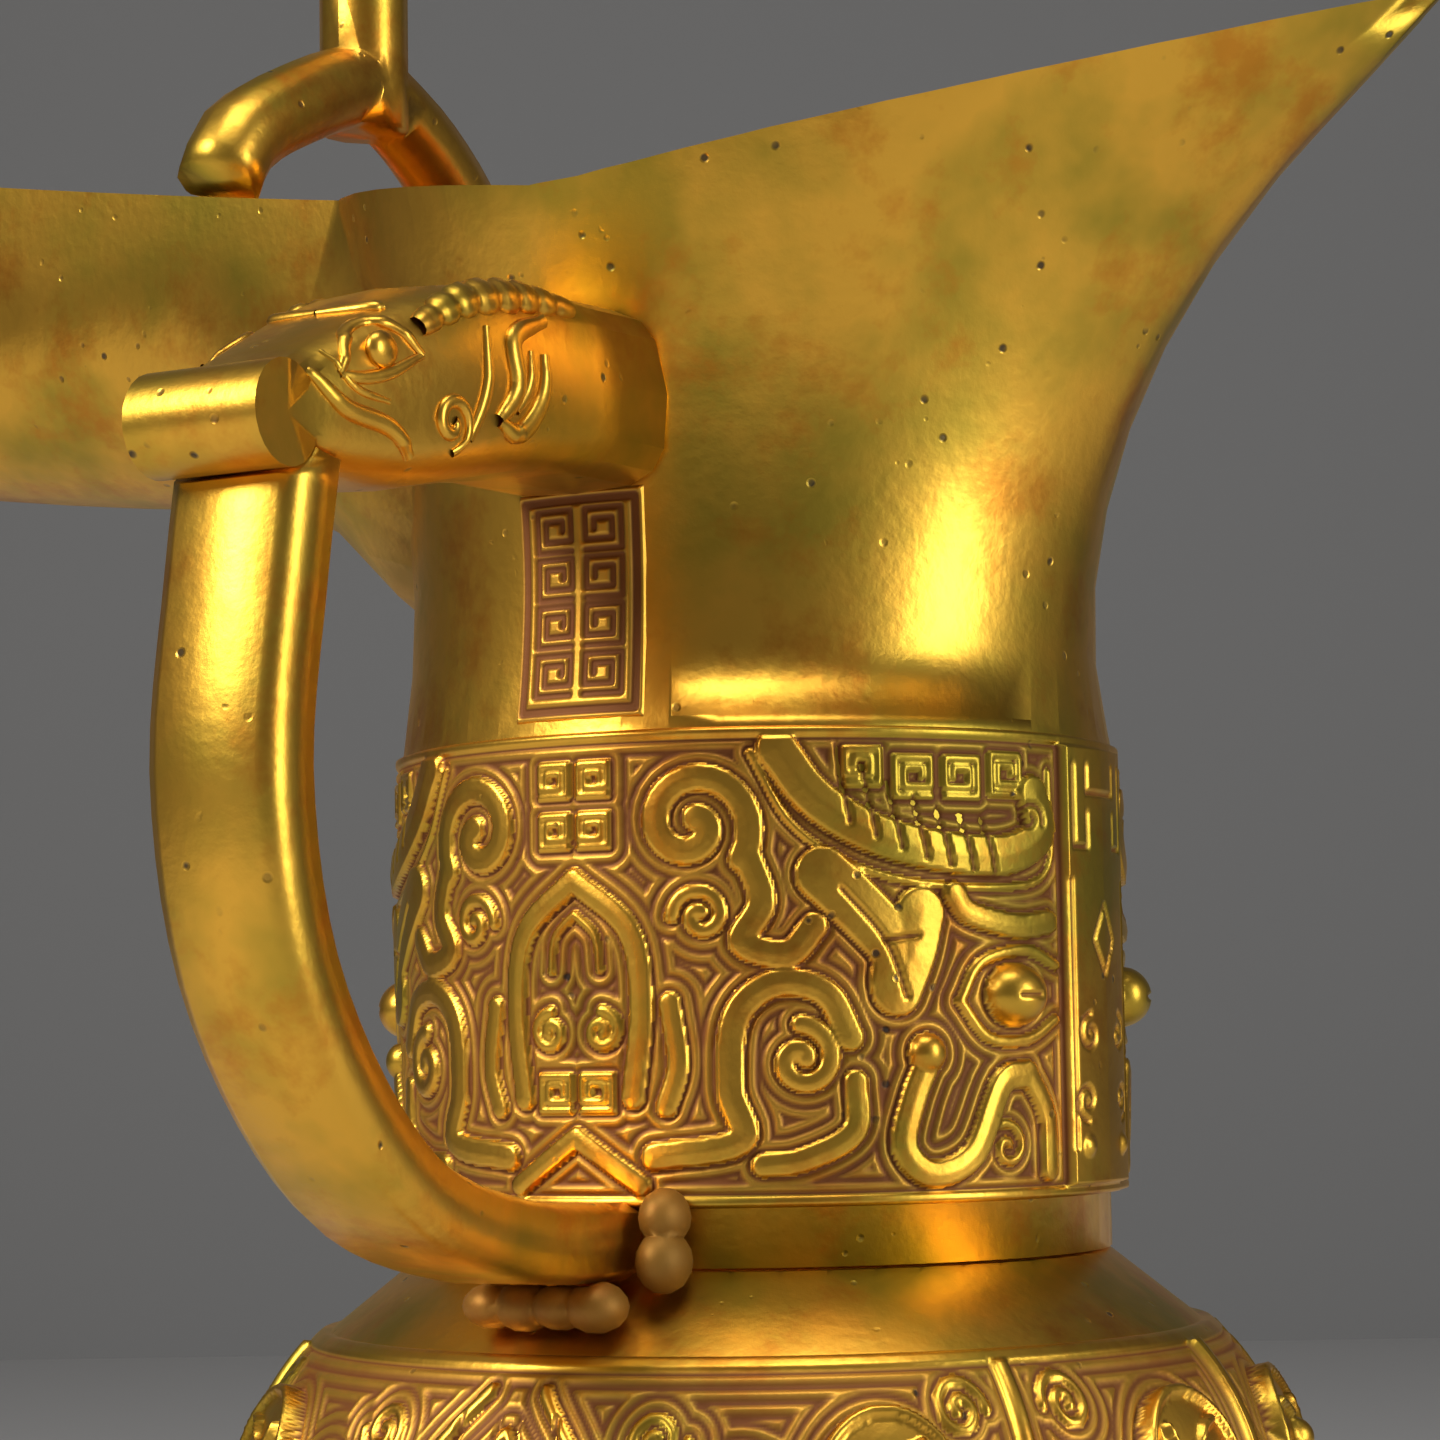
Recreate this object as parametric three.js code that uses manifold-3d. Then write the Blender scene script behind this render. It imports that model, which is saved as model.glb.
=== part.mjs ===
// A three-legged ritual wine cup in gilt bronze, in millimetres, +Z up, standing on its three feet.
// The spout points along -X, the tail along +X and the handle along -Y.
// Each piece is a closed body of its own, as cast, and the pieces are brazed together.
import * as THREE from "three";
import { mergeVertices } from "three/addons/utils/BufferGeometryUtils.js";
import Module from "manifold-3d";

const wasm = await Module();
wasm.setup();

// Heights above the floor
const LEG_HEIGHT = 76; // floor to the flat underside of the belly
const BELLY_HEIGHT = 38; // underside to the belly's top line
const SHOULDER_HEIGHT = 6; // sloping shoulder above the belly
const RING_HEIGHT = 5; // plain ring between the shoulder and the mask band
const BAND_HEIGHT = 39; // mask band
// Radii from the cup's upright axis
const BAND_RADIUS = 32;
const RING_RADIUS = 30.8;
const NECK_WAIST_RADIUS = 30.6;
const SHOULDER_RADIUS = 38.2; // where the shoulder meets the belly
const BELLY_RADIUS = 45;
const BELLY_FLOOR_RADIUS = 33;
// Walls and clearances
const WALL = 2;
const BAND_WALL = 3.2; // the wall behind the mask band
const FLOOR_THICKNESS = 2.6;
const JOINT_GAP = 0.3; // the braze line between two pieces
// Mouth
const RIM_HEIGHT = 45; // above the band's top, at the handle
const TAIL_REACH = 68;
const TAIL_RISE = 16; // tail tip above the rim at the handle
const SPOUT_REACH = 106;
const SPOUT_RISE = 20; // spout lip above the rim at the handle
const SPOUT_ROOT_HALF_WIDTH = 31;
const SPOUT_LIP_HALF_WIDTH = 13.5;
const SPOUT_KEEL_HEIGHT = 26; // keel of the spout above the band's top
const SPOUT_KEEL_RISE = 8; // keel at the lip above the keel at the root
// Handle
const STRAP_WIDTH = 11;
const STRAP_THICKNESS = 6.2;
const STRAP_REACH = 82.4; // outer face of the strap from the axis
const HEAD_ROOT_WIDTH = 17.5;
// Cast ornament, the bold parts of it
const EYE_BEARING = 21.5; // degrees from the middle of a mask
const EYE_HEIGHT = 16.9; // above the band's foot
const EYE_SIZE = [2.2, 2.9, 2.5]; // rise, half width, half height
const NOSE_WIDTH = 11;
const NOSE_RISE = 0.75;
const DISC_BEARINGS = [14, 50.4]; // of the whorl discs, from the middle of the tail and the spout
const DISC_DEPTH = 10; // from the belly's top line to a disc's middle
const DISC_SIZE = [0.8, 5.4]; // rise and radius
// Post
const POST_X = -42; // the post's place along the spout
const POST_WIDTH = 8.6;
const POST_HEIGHT = 28; // fork to cap
const FORK_RISE = 13; // fork above the rim
const CAP_RADIUS = 10.5;
const CAP_HEIGHT = 13;
// Legs
const LEG_ANGLES = { leg_handle_side: -90, leg_tail_side: 30, leg_spout_side: 150 };
const LEG_ROOT_RADIUS = 31;
const LEG_FOOT_RADIUS = 50;
const LEG_ROOT_WIDTH = 24;
const LEG_FOOT_WIDTH = 7;

const bellyFloorZ = LEG_HEIGHT;
const bellyTopZ = bellyFloorZ + BELLY_HEIGHT;
const shoulderTopZ = bellyTopZ + SHOULDER_HEIGHT;
const bandFootZ = shoulderTopZ + RING_HEIGHT;
const bandTopZ = bandFootZ + BAND_HEIGHT;
const rimZ = bandTopZ + RIM_HEIGHT;

const gold = (roughness) =>
  new THREE.MeshStandardMaterial({ color: 0xd9a02a, roughness, metalness: 1 });

function solidOf(geometry) {
  const g = geometry.clone();
  for (const name of Object.keys(g.attributes)) if (name !== "position") g.deleteAttribute(name);
  const merged = mergeVertices(g, 1e-4);
  return new wasm.Manifold(
    new wasm.Mesh({
      numProp: 3,
      vertProperties: merged.attributes.position.array,
      triVerts: new Uint32Array(merged.index.array),
    }),
  );
}

function geometryOf(solid) {
  const mesh = solid.getMesh();
  const g = new THREE.BufferGeometry();
  g.setAttribute("position", new THREE.BufferAttribute(new Float32Array(mesh.vertProperties), 3));
  g.setIndex(new THREE.BufferAttribute(new Uint32Array(mesh.triVerts), 1));
  g.computeVertexNormals();
  return g;
}

// A closed body through rings of equally many points, capped by a fan at each end.
// Rings run anticlockwise seen from the far end of the loft.
function loft(rings) {
  const n = rings[0].length;
  const points = rings.flat();
  const faces = [];
  for (let k = 0; k + 1 < rings.length; k++)
    for (let i = 0; i < n; i++) {
      const a = k * n + i;
      const b = k * n + ((i + 1) % n);
      faces.push(a, b, b + n, a, b + n, a + n);
    }
  const capCentre = (ring) => {
    points.push(ring.reduce((s, p) => s.add(p), new THREE.Vector3()).divideScalar(n));
    return points.length - 1;
  };
  const low = capCentre(rings[0]);
  const high = capCentre(rings.at(-1));
  const last = (rings.length - 1) * n;
  for (let i = 0; i < n; i++) {
    faces.push(low, (i + 1) % n, i);
    faces.push(high, last + i, last + ((i + 1) % n));
  }
  const g = new THREE.BufferGeometry().setFromPoints(points);
  g.setIndex(faces);
  return g;
}

const smooth = (t) => t * t * (3 - 2 * t);
const clamp01 = (t) => Math.min(1, Math.max(0, t));

// Neck radius at a height above the band's top: waisted, then flaring to the rim.
function neckRadius(z) {
  const t = z / RIM_HEIGHT;
  return NECK_WAIST_RADIUS + 1.2 * (1 - clamp01(t * 3)) ** 2 + 7 * clamp01((t - 0.25) / 0.75) ** 2.2;
}

// Tail reach at a height above the band's top.
function tailReach(z) {
  const t = clamp01(z / (RIM_HEIGHT + TAIL_RISE));
  return neckRadius(Math.min(z, RIM_HEIGHT * 0.3)) + (TAIL_REACH - NECK_WAIST_RADIUS) * t ** 2.4;
}

// Level section of the mouth, without the spout, taken in by inset.
function mouthSection(z, inset, count) {
  const side = neckRadius(z) - inset;
  const tail = tailReach(z) - inset * (1 + 1.2 * clamp01(z / RIM_HEIGHT));
  const point = 0.5 + 0.32 * clamp01(z / RIM_HEIGHT);
  return Array.from({ length: count }, (_, i) => {
    const a = (2 * Math.PI * i) / count;
    const x = Math.cos(a) * (Math.cos(a) > 0 ? tail : side);
    const share = Math.cos(a) > 0 ? x / tail : x / side;
    const y = side * (1 - share * share) ** (Math.cos(a) > 0 ? point : 0.5);
    return new THREE.Vector3(x, Math.sign(Math.sin(a)) * y, bandTopZ + z);
  });
}

const MOUTH_SIDES = 48;
const MOUTH_STEPS = 10;
const MOUTH_OVERRUN = 8; // above the tail tip, cut off again by the rim
function mouthBody(inset, fromZ) {
  const top = RIM_HEIGHT + TAIL_RISE + MOUTH_OVERRUN;
  const rings = [];
  for (let k = 0; k <= MOUTH_STEPS; k++)
    rings.push(mouthSection(fromZ + ((top - fromZ) * k) / MOUTH_STEPS, inset, MOUTH_SIDES));
  return solidOf(loft(rings));
}

// Half width of the spout and the height of its keel, at x.
function spoutHalfWidth(x) {
  const t = clamp01((x + SPOUT_REACH) / SPOUT_REACH);
  return SPOUT_LIP_HALF_WIDTH + (SPOUT_ROOT_HALF_WIDTH - SPOUT_LIP_HALF_WIDTH) * t ** 1.25;
}
function spoutKeel(x) {
  const out = clamp01((-x - BAND_RADIUS) / (SPOUT_REACH - BAND_RADIUS));
  const drop = 1 - clamp01((-x - BAND_RADIUS * 0.9) / 24);
  return SPOUT_KEEL_HEIGHT + SPOUT_KEEL_RISE * out ** 1.6 - 16 * drop ** 2;
}

const SPOUT_STEPS = 12;
const SPOUT_SIDES = 14;
function spoutBody(inset) {
  const rings = [];
  const end = SPOUT_REACH + (inset > 0 ? 10 : 0);
  const top = RIM_HEIGHT + SPOUT_RISE + 12;
  for (let k = 0; k <= SPOUT_STEPS; k++) {
    const x = 6 - ((end + 6) * k) / SPOUT_STEPS;
    const half = spoutHalfWidth(x) - inset;
    const keel = spoutKeel(x) + inset;
    const round = Math.min(half * 1.1, top - keel - 2);
    const ring = [];
    for (let i = 0; i <= SPOUT_SIDES; i++) {
      const a = Math.PI + (Math.PI * i) / SPOUT_SIDES;
      ring.push(new THREE.Vector3(x, Math.cos(a) * half, bandTopZ + keel + round * (1 + Math.sin(a))));
    }
    ring.push(new THREE.Vector3(x, half, bandTopZ + top), new THREE.Vector3(x, -half, bandTopZ + top));
    rings.push(ring);
  }
  return solidOf(loft(rings.map((r) => r.slice().reverse())));
}

// Rim height above the band's top, at x.
function rimLine(x) {
  return x > 0
    ? RIM_HEIGHT + TAIL_RISE * (x / TAIL_REACH) ** 1.35
    : RIM_HEIGHT + SPOUT_RISE * (-x / SPOUT_REACH) ** 1.1;
}

function rimCutter() {
  const outline = new THREE.Shape();
  const steps = 40;
  const span = SPOUT_REACH + TAIL_REACH + 8;
  outline.moveTo(-SPOUT_REACH - 4, rimZ + 100);
  for (let i = 0; i <= steps; i++) {
    const x = -SPOUT_REACH - 4 + (span * i) / steps;
    outline.lineTo(x, bandTopZ + rimLine(x));
  }
  outline.lineTo(TAIL_REACH + 4, rimZ + 100);
  const g = new THREE.ExtrudeGeometry(outline, { depth: 120, bevelEnabled: false });
  g.rotateX(Math.PI / 2);
  g.translate(0, 60, 0);
  return solidOf(g);
}

function lathe(profile, sides) {
  const g = new THREE.LatheGeometry(
    profile.map(([r, z]) => new THREE.Vector2(r, z)),
    sides,
  );
  g.rotateX(Math.PI / 2);
  return g;
}

// The same thing at a bearing either side of the tail and either side of the spout.
function fourfold(bearing, make) {
  return [bearing, -bearing, 180 - bearing, 180 + bearing].map((degrees) => {
    const g = make();
    g.rotateZ(THREE.MathUtils.degToRad(degrees));
    return solidOf(g);
  });
}
function eyes() {
  return fourfold(EYE_BEARING, () => {
    const g = new THREE.SphereGeometry(1, 12, 8);
    g.scale(...EYE_SIZE);
    return g.translate(BAND_RADIUS, 0, bandFootZ + EYE_HEIGHT);
  });
}
// Two upright plates, one down the middle of each mask.
function noses() {
  const half = NOSE_WIDTH / 2 / BAND_RADIUS;
  return [0, Math.PI].map((middle) => {
    const plate = new THREE.Shape();
    plate.absarc(0, 0, BAND_RADIUS + NOSE_RISE, middle - half, middle + half, false);
    plate.absarc(0, 0, BAND_RADIUS - WALL / 2, middle + half, middle - half, true);
    const depth = BAND_HEIGHT - 3;
    const g = new THREE.ExtrudeGeometry(plate, { depth, bevelEnabled: false, curveSegments: 6 });
    return solidOf(g.translate(0, 0, bandFootZ + 1.5));
  });
}
// Low discs on the belly, each lying flat on the wall.
function discs() {
  const [rise, radius] = DISC_SIZE;
  const t = 1 - DISC_DEPTH / BELLY_HEIGHT;
  const reach = bellyRadius(t);
  const lean = Math.atan2(bellyRadius(t - 0.05) - bellyRadius(t + 0.05), BELLY_HEIGHT * 0.1);
  return DISC_BEARINGS.flatMap((bearing) =>
    fourfold(bearing, () => {
      const g = new THREE.CylinderGeometry(radius * 0.92, radius, 2 * rise, 16);
      g.rotateZ(-Math.PI / 2);
      g.rotateY(-lean);
      return g.translate(reach - 0.1 * rise, 0, bellyFloorZ + BELLY_HEIGHT * t);
    }),
  );
}

function upperBody() {
  const seam = shoulderTopZ + JOINT_GAP / 2;
  const cuff = solidOf(
    lathe(
      [
        [0, seam],
        [RING_RADIUS, seam],
        [RING_RADIUS, bandFootZ],
        [BAND_RADIUS, bandFootZ + 0.8],
        [BAND_RADIUS, bandTopZ - 0.8],
        [neckRadius(0), bandTopZ],
        [neckRadius(1), bandTopZ + 1],
        [0, bandTopZ + 1],
      ],
      MOUTH_SIDES,
    ),
  );
  const outer = [...eyes(), ...noses()].reduce((a, b) => a.add(b), mouthBody(0, 0.5).add(spoutBody(0)).add(cuff));
  const bore = solidOf(
    lathe(
      [
        [0, seam - 5],
        [RING_RADIUS - WALL, seam - 5],
        [RING_RADIUS - WALL, bandFootZ - WALL],
        [BAND_RADIUS - BAND_WALL, bandFootZ - WALL + 0.2],
        [BAND_RADIUS - BAND_WALL, bandTopZ - 2],
        [neckRadius(2) - WALL, bandTopZ + 2],
        [0, bandTopZ + 2],
      ],
      MOUTH_SIDES,
    ),
  );
  const inner = mouthBody(WALL, 1).add(spoutBody(WALL)).add(bore);
  return outer.subtract(inner).subtract(rimCutter());
}

function lowerBelly() {
  const seam = shoulderTopZ - JOINT_GAP / 2;
  const outer = [[0, bellyFloorZ], [BELLY_FLOOR_RADIUS, bellyFloorZ]];
  const inner = [];
  const steps = 16;
  for (let i = 1; i <= steps; i++) {
    const t = i / steps;
    const r = bellyRadius(t);
    outer.push([r, bellyFloorZ + BELLY_HEIGHT * t]);
    inner.push([r - WALL, bellyFloorZ + FLOOR_THICKNESS + (BELLY_HEIGHT - FLOOR_THICKNESS) * t]);
  }
  outer.push([RING_RADIUS, seam], [RING_RADIUS - WALL, seam]);
  const profile = [...outer, ...inner.reverse(), [BELLY_FLOOR_RADIUS - WALL, bellyFloorZ + FLOOR_THICKNESS]];
  profile.push([0, bellyFloorZ + FLOOR_THICKNESS]);
  const shell = solidOf(lathe(profile, MOUTH_SIDES));
  return discs().reduce((a, b) => a.add(b), shell);
}
function bellyRadius(t) {
  const bulge = Math.sin(Math.PI * clamp01(t) ** 1.25) ** 0.8;
  const base = BELLY_FLOOR_RADIUS + (SHOULDER_RADIUS - BELLY_FLOOR_RADIUS) * t;
  return base + (BELLY_RADIUS - (BELLY_FLOOR_RADIUS + SHOULDER_RADIUS) / 2) * bulge;
}

// A three-edged leg: ridge outside, flat inside, tapering to a small flat foot.
function leg(angle) {
  const rings = [];
  const steps = 10;
  for (let k = 0; k <= steps; k++) {
    const t = k / steps;
    const out = LEG_ROOT_RADIUS + (LEG_FOOT_RADIUS - LEG_ROOT_RADIUS) * t ** 1.6;
    const w = LEG_ROOT_WIDTH + (LEG_FOOT_WIDTH - LEG_ROOT_WIDTH) * t ** 0.8;
    const z = (bellyFloorZ - JOINT_GAP) * (1 - t);
    const section = [
      [-0.28, -0.5],
      [-0.2, -0.5],
      [0.2, -0.12],
      [0.26, 0],
      [0.2, 0.12],
      [-0.2, 0.5],
      [-0.28, 0.5],
      [-0.3, 0],
    ];
    rings.push(section.map(([u, v]) => new THREE.Vector3(out + u * w, v * w, z)));
  }
  const g = loft(rings.reverse());
  g.rotateZ(THREE.MathUtils.degToRad(angle));
  return solidOf(g);
}

// The strap handle: a flat bar swept round an oval loop in the plane x = 0.
const strapFootZ = shoulderTopZ + 2.5;
function strapPath() {
  const outer = STRAP_REACH - STRAP_THICKNESS / 2;
  return new THREE.CatmullRomCurve3(
    [
      [-outer + 4, bandTopZ + 20],
      [-outer + 1.8, bandTopZ + 8],
      [-outer, bandTopZ - 7],
      [-outer + 4, bandTopZ - 22],
      [-outer + 17, bandTopZ - 36],
      [-outer + 34, strapFootZ + 0.5],
      [-RING_RADIUS - 1.2, strapFootZ],
    ].map(([y, z]) => new THREE.Vector3(0, y, z)),
  );
}
function sweptBar(path, width, thickness, steps) {
  const rings = [];
  for (let k = 0; k <= steps; k++) {
    const p = path.getPointAt(k / steps);
    const along = path.getTangentAt(k / steps);
    const across = new THREE.Vector3(1, 0, 0);
    const out = new THREE.Vector3().crossVectors(along, across).normalize();
    const corners = [[-0.5, -0.36], [-0.38, -0.5], [0.38, -0.5], [0.5, -0.36], [0.5, 0.36], [0.38, 0.5], [-0.38, 0.5], [-0.5, 0.36]];
    rings.push(
      corners.map(([u, v]) =>
        p.clone().addScaledVector(across, u * width(k / steps)).addScaledVector(out, v * thickness),
      ),
    );
  }
  return solidOf(loft(rings));
}
function strapSolid(grow) {
  return sweptBar(strapPath(), (t) => STRAP_WIDTH + grow + 1.5 * (t - 0.5) ** 2, STRAP_THICKNESS + grow, 32);
}
// The ring, shoulder and belly with a braze gap round them.
function wallWithGap() {
  const gap = 2 * JOINT_GAP;
  return solidOf(
    lathe(
      [
        [0, bellyTopZ - 4],
        [SHOULDER_RADIUS + gap + 1, bellyTopZ - 4],
        [SHOULDER_RADIUS + gap, bellyTopZ],
        [RING_RADIUS + gap, shoulderTopZ + gap / 2],
        [RING_RADIUS + gap, bandFootZ - gap],
        [BAND_RADIUS + gap, bandFootZ - gap],
        [BAND_RADIUS + gap, bandTopZ],
        [0, bandTopZ],
      ],
      MOUTH_SIDES,
    ),
  );
}
function handleStrap() {
  const trimmed = strapSolid(0).subtract(headBody(JOINT_GAP)).subtract(wallWithGap());
  return trimmed.decompose().sort((a, b) => b.volume() - a.volume())[0];
}

// A lump of braze beside or under the strap's foot: joined balls, clear of the strap and the wall.
function bead(balls) {
  const lumps = balls.map(([size, place]) => {
    const g = new THREE.SphereGeometry(1, 14, 10);
    g.scale(...size);
    g.translate(...place);
    return solidOf(g);
  });
  const joined = lumps.reduce((a, b) => a.add(b));
  const clear = joined.subtract(strapSolid(2 * JOINT_GAP)).subtract(wallWithGap());
  return clear.decompose().sort((a, b) => b.volume() - a.volume())[0];
}
const sideBead = () =>
  bead([
    [[2, 2.6, 2.4], [8.2, -RING_RADIUS - 1.6, strapFootZ + 1.9]],
    [[2.2, 2.8, 2.6], [8.4, -RING_RADIUS - 2.2, strapFootZ - 1.6]],
  ]);
const underBead = () =>
  bead([-5, -2, 1.4, 4.6].map((x, i) => [[2.6, 2.7, 1.9 + 0.2 * (i % 2)], [x, -RING_RADIUS - 6.4, strapFootZ - 5]]));

// The animal head: a long body from the cup's wall to a cylindrical muzzle over the strap.
const MUZZLE_RADIUS = 3.9;
const MUZZLE_WIDTH = 11.6;
const MUZZLE_HEIGHT = 19; // above the band's top
const HEAD_HEIGHT = 15;
function headBody(grow) {
  // Distance from the axis, width, foot and top of each section, as shares of the head's
  // reach, the root's width and the head's height.
  const stations = [
    [0.376, 0.5, 1.33, 2.33],
    [0.510, 0.5, 1.31, 2.29],
    [0.607, 0.5, 1.24, 2.24],
    [0.680, 0.5, 1.16, 2.20],
    [0.740, 0.49, 1.09, 2.13],
    [0.801, 0.45, 1.05, 2.00],
    [0.862, 0.4, 1.05, 1.83],
    [0.922, 0.36, 1.07, 1.65],
    [0.966, 0.32, 1.12, 1.49],
  ];
  const rings = stations.map(([reach, half, foot, top]) => {
    const w = half * HEAD_ROOT_WIDTH + grow;
    const mid = (HEAD_HEIGHT * (foot + top)) / 2;
    const tall = (HEAD_HEIGHT * (top - foot)) / 2 + grow;
    return Array.from({ length: 16 }, (_, i) => {
      const a = (2 * Math.PI * i) / 16;
      const c = Math.cos(a);
      const s = Math.sin(a);
      return new THREE.Vector3(
        Math.sign(c) * Math.abs(c) ** 0.55 * w,
        -reach * STRAP_REACH,
        bandTopZ + mid + Math.sign(s) * Math.abs(s) ** 0.55 * tall,
      );
    });
  });
  const muzzle = new THREE.CylinderGeometry(MUZZLE_RADIUS + grow, MUZZLE_RADIUS + grow, MUZZLE_WIDTH, 24);
  muzzle.rotateZ(Math.PI / 2);
  muzzle.translate(0, -STRAP_REACH + MUZZLE_RADIUS * 0.5, bandTopZ + MUZZLE_HEIGHT);
  return solidOf(loft(rings)).add(solidOf(muzzle));
}
function handleHead() {
  return headBody(0).subtract(mouthBody(-JOINT_GAP, 0.5));
}

// Round bar along a curve.
function bar(points, radius, sides, steps) {
  const path = new THREE.CatmullRomCurve3(points);
  const shape = new THREE.Shape();
  shape.absarc(0, 0, radius, 0, Math.PI * 2, false);
  return solidOf(
    new THREE.ExtrudeGeometry(shape, { extrudePath: path, steps, curveSegments: sides / 2, bevelEnabled: false }),
  );
}

const forkZ = bandTopZ + rimLine(POST_X) + FORK_RISE;
function postFork() {
  const half = spoutHalfWidth(POST_X) - WALL / 2;
  const footZ = bandTopZ + rimLine(POST_X - 3) + JOINT_GAP;
  const prong = (side) =>
    bar(
      [
        new THREE.Vector3(POST_X, 0, forkZ + 3),
        new THREE.Vector3(POST_X, side * half * 0.45, forkZ - 1),
        new THREE.Vector3(POST_X - 1, side * half * 0.9, forkZ - 7),
        new THREE.Vector3(POST_X - 1.5, side * half, footZ + 0.5),
      ],
      POST_WIDTH * 0.46,
      12,
      10,
    );
  const shaft = bar(
    [new THREE.Vector3(POST_X, 0, forkZ - 2), new THREE.Vector3(POST_X, 0, forkZ + POST_HEIGHT)],
    POST_WIDTH / 2,
    12,
    4,
  );
  return prong(1).add(prong(-1)).add(shaft).subtract(rimTool());
}
// Everything under the rim's surface and a braze gap, to seat the post's feet.
function rimTool() {
  const size = 40;
  const slope = Math.atan(SPOUT_RISE / SPOUT_REACH);
  const g = new THREE.BoxGeometry(size, 2 * size, size);
  g.rotateY(slope);
  g.translate(POST_X, 0, bandTopZ + rimLine(POST_X) - size / 2 / Math.cos(slope) + 1.2 * JOINT_GAP);
  return solidOf(g);
}

function postCap() {
  const foot = forkZ + POST_HEIGHT + JOINT_GAP;
  const g = lathe(
    [
      [0, foot],
      [CAP_RADIUS * 0.5, foot],
      [CAP_RADIUS, foot + 1.5],
      [CAP_RADIUS, foot + 3.2],
      [CAP_RADIUS * 0.82, foot + 6.5],
      [CAP_RADIUS * 0.5, foot + 9.5],
      [CAP_RADIUS * 0.26, foot + 10.6],
      [CAP_RADIUS * 0.22, foot + CAP_HEIGHT - 0.8],
      [0, foot + CAP_HEIGHT],
    ],
    32,
  );
  g.translate(POST_X, 0, 0);
  return solidOf(g);
}

const cup = new THREE.Group();
function addPiece(name, solid, roughness = 0.28) {
  const mesh = new THREE.Mesh(geometryOf(solid), gold(roughness));
  mesh.name = name;
  cup.add(mesh);
}

addPiece("upper_body", upperBody());
addPiece("lower_belly", lowerBelly());
for (const [name, angle] of Object.entries(LEG_ANGLES)) addPiece(name, leg(angle));
addPiece("handle_head", handleHead());
addPiece("handle_strap", handleStrap());
addPiece("strap_bead_side", sideBead(), 0.5);
addPiece("strap_bead_under", underBead(), 0.5);
addPiece("post_fork", postFork());
addPiece("post_cap", postCap());

// The finished cup is centred over its footprint and stands on the floor.
const box = new THREE.Box3().setFromObject(cup);
cup.position.set(-(box.min.x + box.max.x) / 2, -(box.min.y + box.max.y) / 2, -box.min.z);
export default cup;
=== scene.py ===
"""Dresses the wine cup: worn gilding on every piece, and the cast ornament of its band and belly.

Metres in the row frame, with the ornament laid out in millimetres of surface.
"""

import math

import bmesh
import bpy
import numpy as np
from mathutils import Matrix, Vector
from mathutils.bvhtree import BVHTree


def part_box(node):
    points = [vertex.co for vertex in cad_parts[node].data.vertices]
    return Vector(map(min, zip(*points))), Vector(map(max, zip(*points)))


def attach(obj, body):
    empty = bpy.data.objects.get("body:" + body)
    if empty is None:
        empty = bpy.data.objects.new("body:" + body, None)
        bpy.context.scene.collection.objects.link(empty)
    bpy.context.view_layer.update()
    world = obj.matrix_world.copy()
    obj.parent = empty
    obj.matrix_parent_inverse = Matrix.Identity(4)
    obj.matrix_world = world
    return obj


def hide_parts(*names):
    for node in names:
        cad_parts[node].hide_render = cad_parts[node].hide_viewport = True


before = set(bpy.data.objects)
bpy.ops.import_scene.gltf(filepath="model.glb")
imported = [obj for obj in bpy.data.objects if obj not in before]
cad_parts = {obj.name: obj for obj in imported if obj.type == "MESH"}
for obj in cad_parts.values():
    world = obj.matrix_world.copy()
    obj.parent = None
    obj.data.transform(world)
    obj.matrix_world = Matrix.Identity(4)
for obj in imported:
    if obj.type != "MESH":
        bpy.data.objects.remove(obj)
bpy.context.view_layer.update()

MM = 0.001

# Places read from the frame
belly_low, belly_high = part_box("lower_belly")
upper_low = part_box("upper_body")[0]
AXIS = (belly_low + belly_high) / 2  # the cup's upright axis
AXIS.z = 0
BELLY_FOOT = belly_low.z
SHOULDER_TOP = (belly_high.z + upper_low.z) / 2
SHOULDER_HEIGHT = 6 * MM
BELLY_TOP = SHOULDER_TOP - SHOULDER_HEIGHT
BAND_FOOT = SHOULDER_TOP + 5 * MM
BAND_HEIGHT_MM = 39
BAND_RADIUS_MM = 32
BAND_TOP = BAND_FOOT + BAND_HEIGHT_MM * MM
BELLY_FLOOR_RADIUS_MM = 33
SHOULDER_RADIUS_MM = 38.2
BELLY_RADIUS_MM = 45

# Relief, in millimetres
GROUND_PITCH = 1.05
GROUND_DEPTH = 0.34
STROKE_RISE = 0.5
STROKE_EDGE = 0.22


# Strokes of the ornament: each is (points, half width, rise)
def curve(points, half=0.55, rise=STROKE_RISE):
    """A smooth stroke through points."""
    p = np.array(points, float)
    if len(p) == 2:
        return (p, half, rise)
    ext = np.vstack([2 * p[0] - p[1], p, 2 * p[-1] - p[-2]])
    out = []
    for i in range(1, len(ext) - 2):
        a, b, c, d = ext[i - 1 : i + 3]
        for t in np.linspace(0, 1, 7)[:-1]:
            out.append(
                0.5
                * (2 * b + (c - a) * t + (2 * a - 5 * b + 4 * c - d) * t**2 + (3 * b - a - 3 * c + d) * t**3)
            )
    out.append(p[-1])
    return (np.array(out), half, rise)


def spiral(x, y, radius, turns=1.6, start=0.0, way=1, half=0.42, squash=1.0, rise=STROKE_RISE):
    """A round scroll that winds in to its eye."""
    t = np.linspace(0, 1, int(26 * turns))
    a = math.radians(start) + way * 2 * math.pi * turns * t
    r = radius * (1 - 0.86 * t)
    return (np.column_stack([x + r * np.cos(a), y + squash * r * np.sin(a)]), half, rise)


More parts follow.
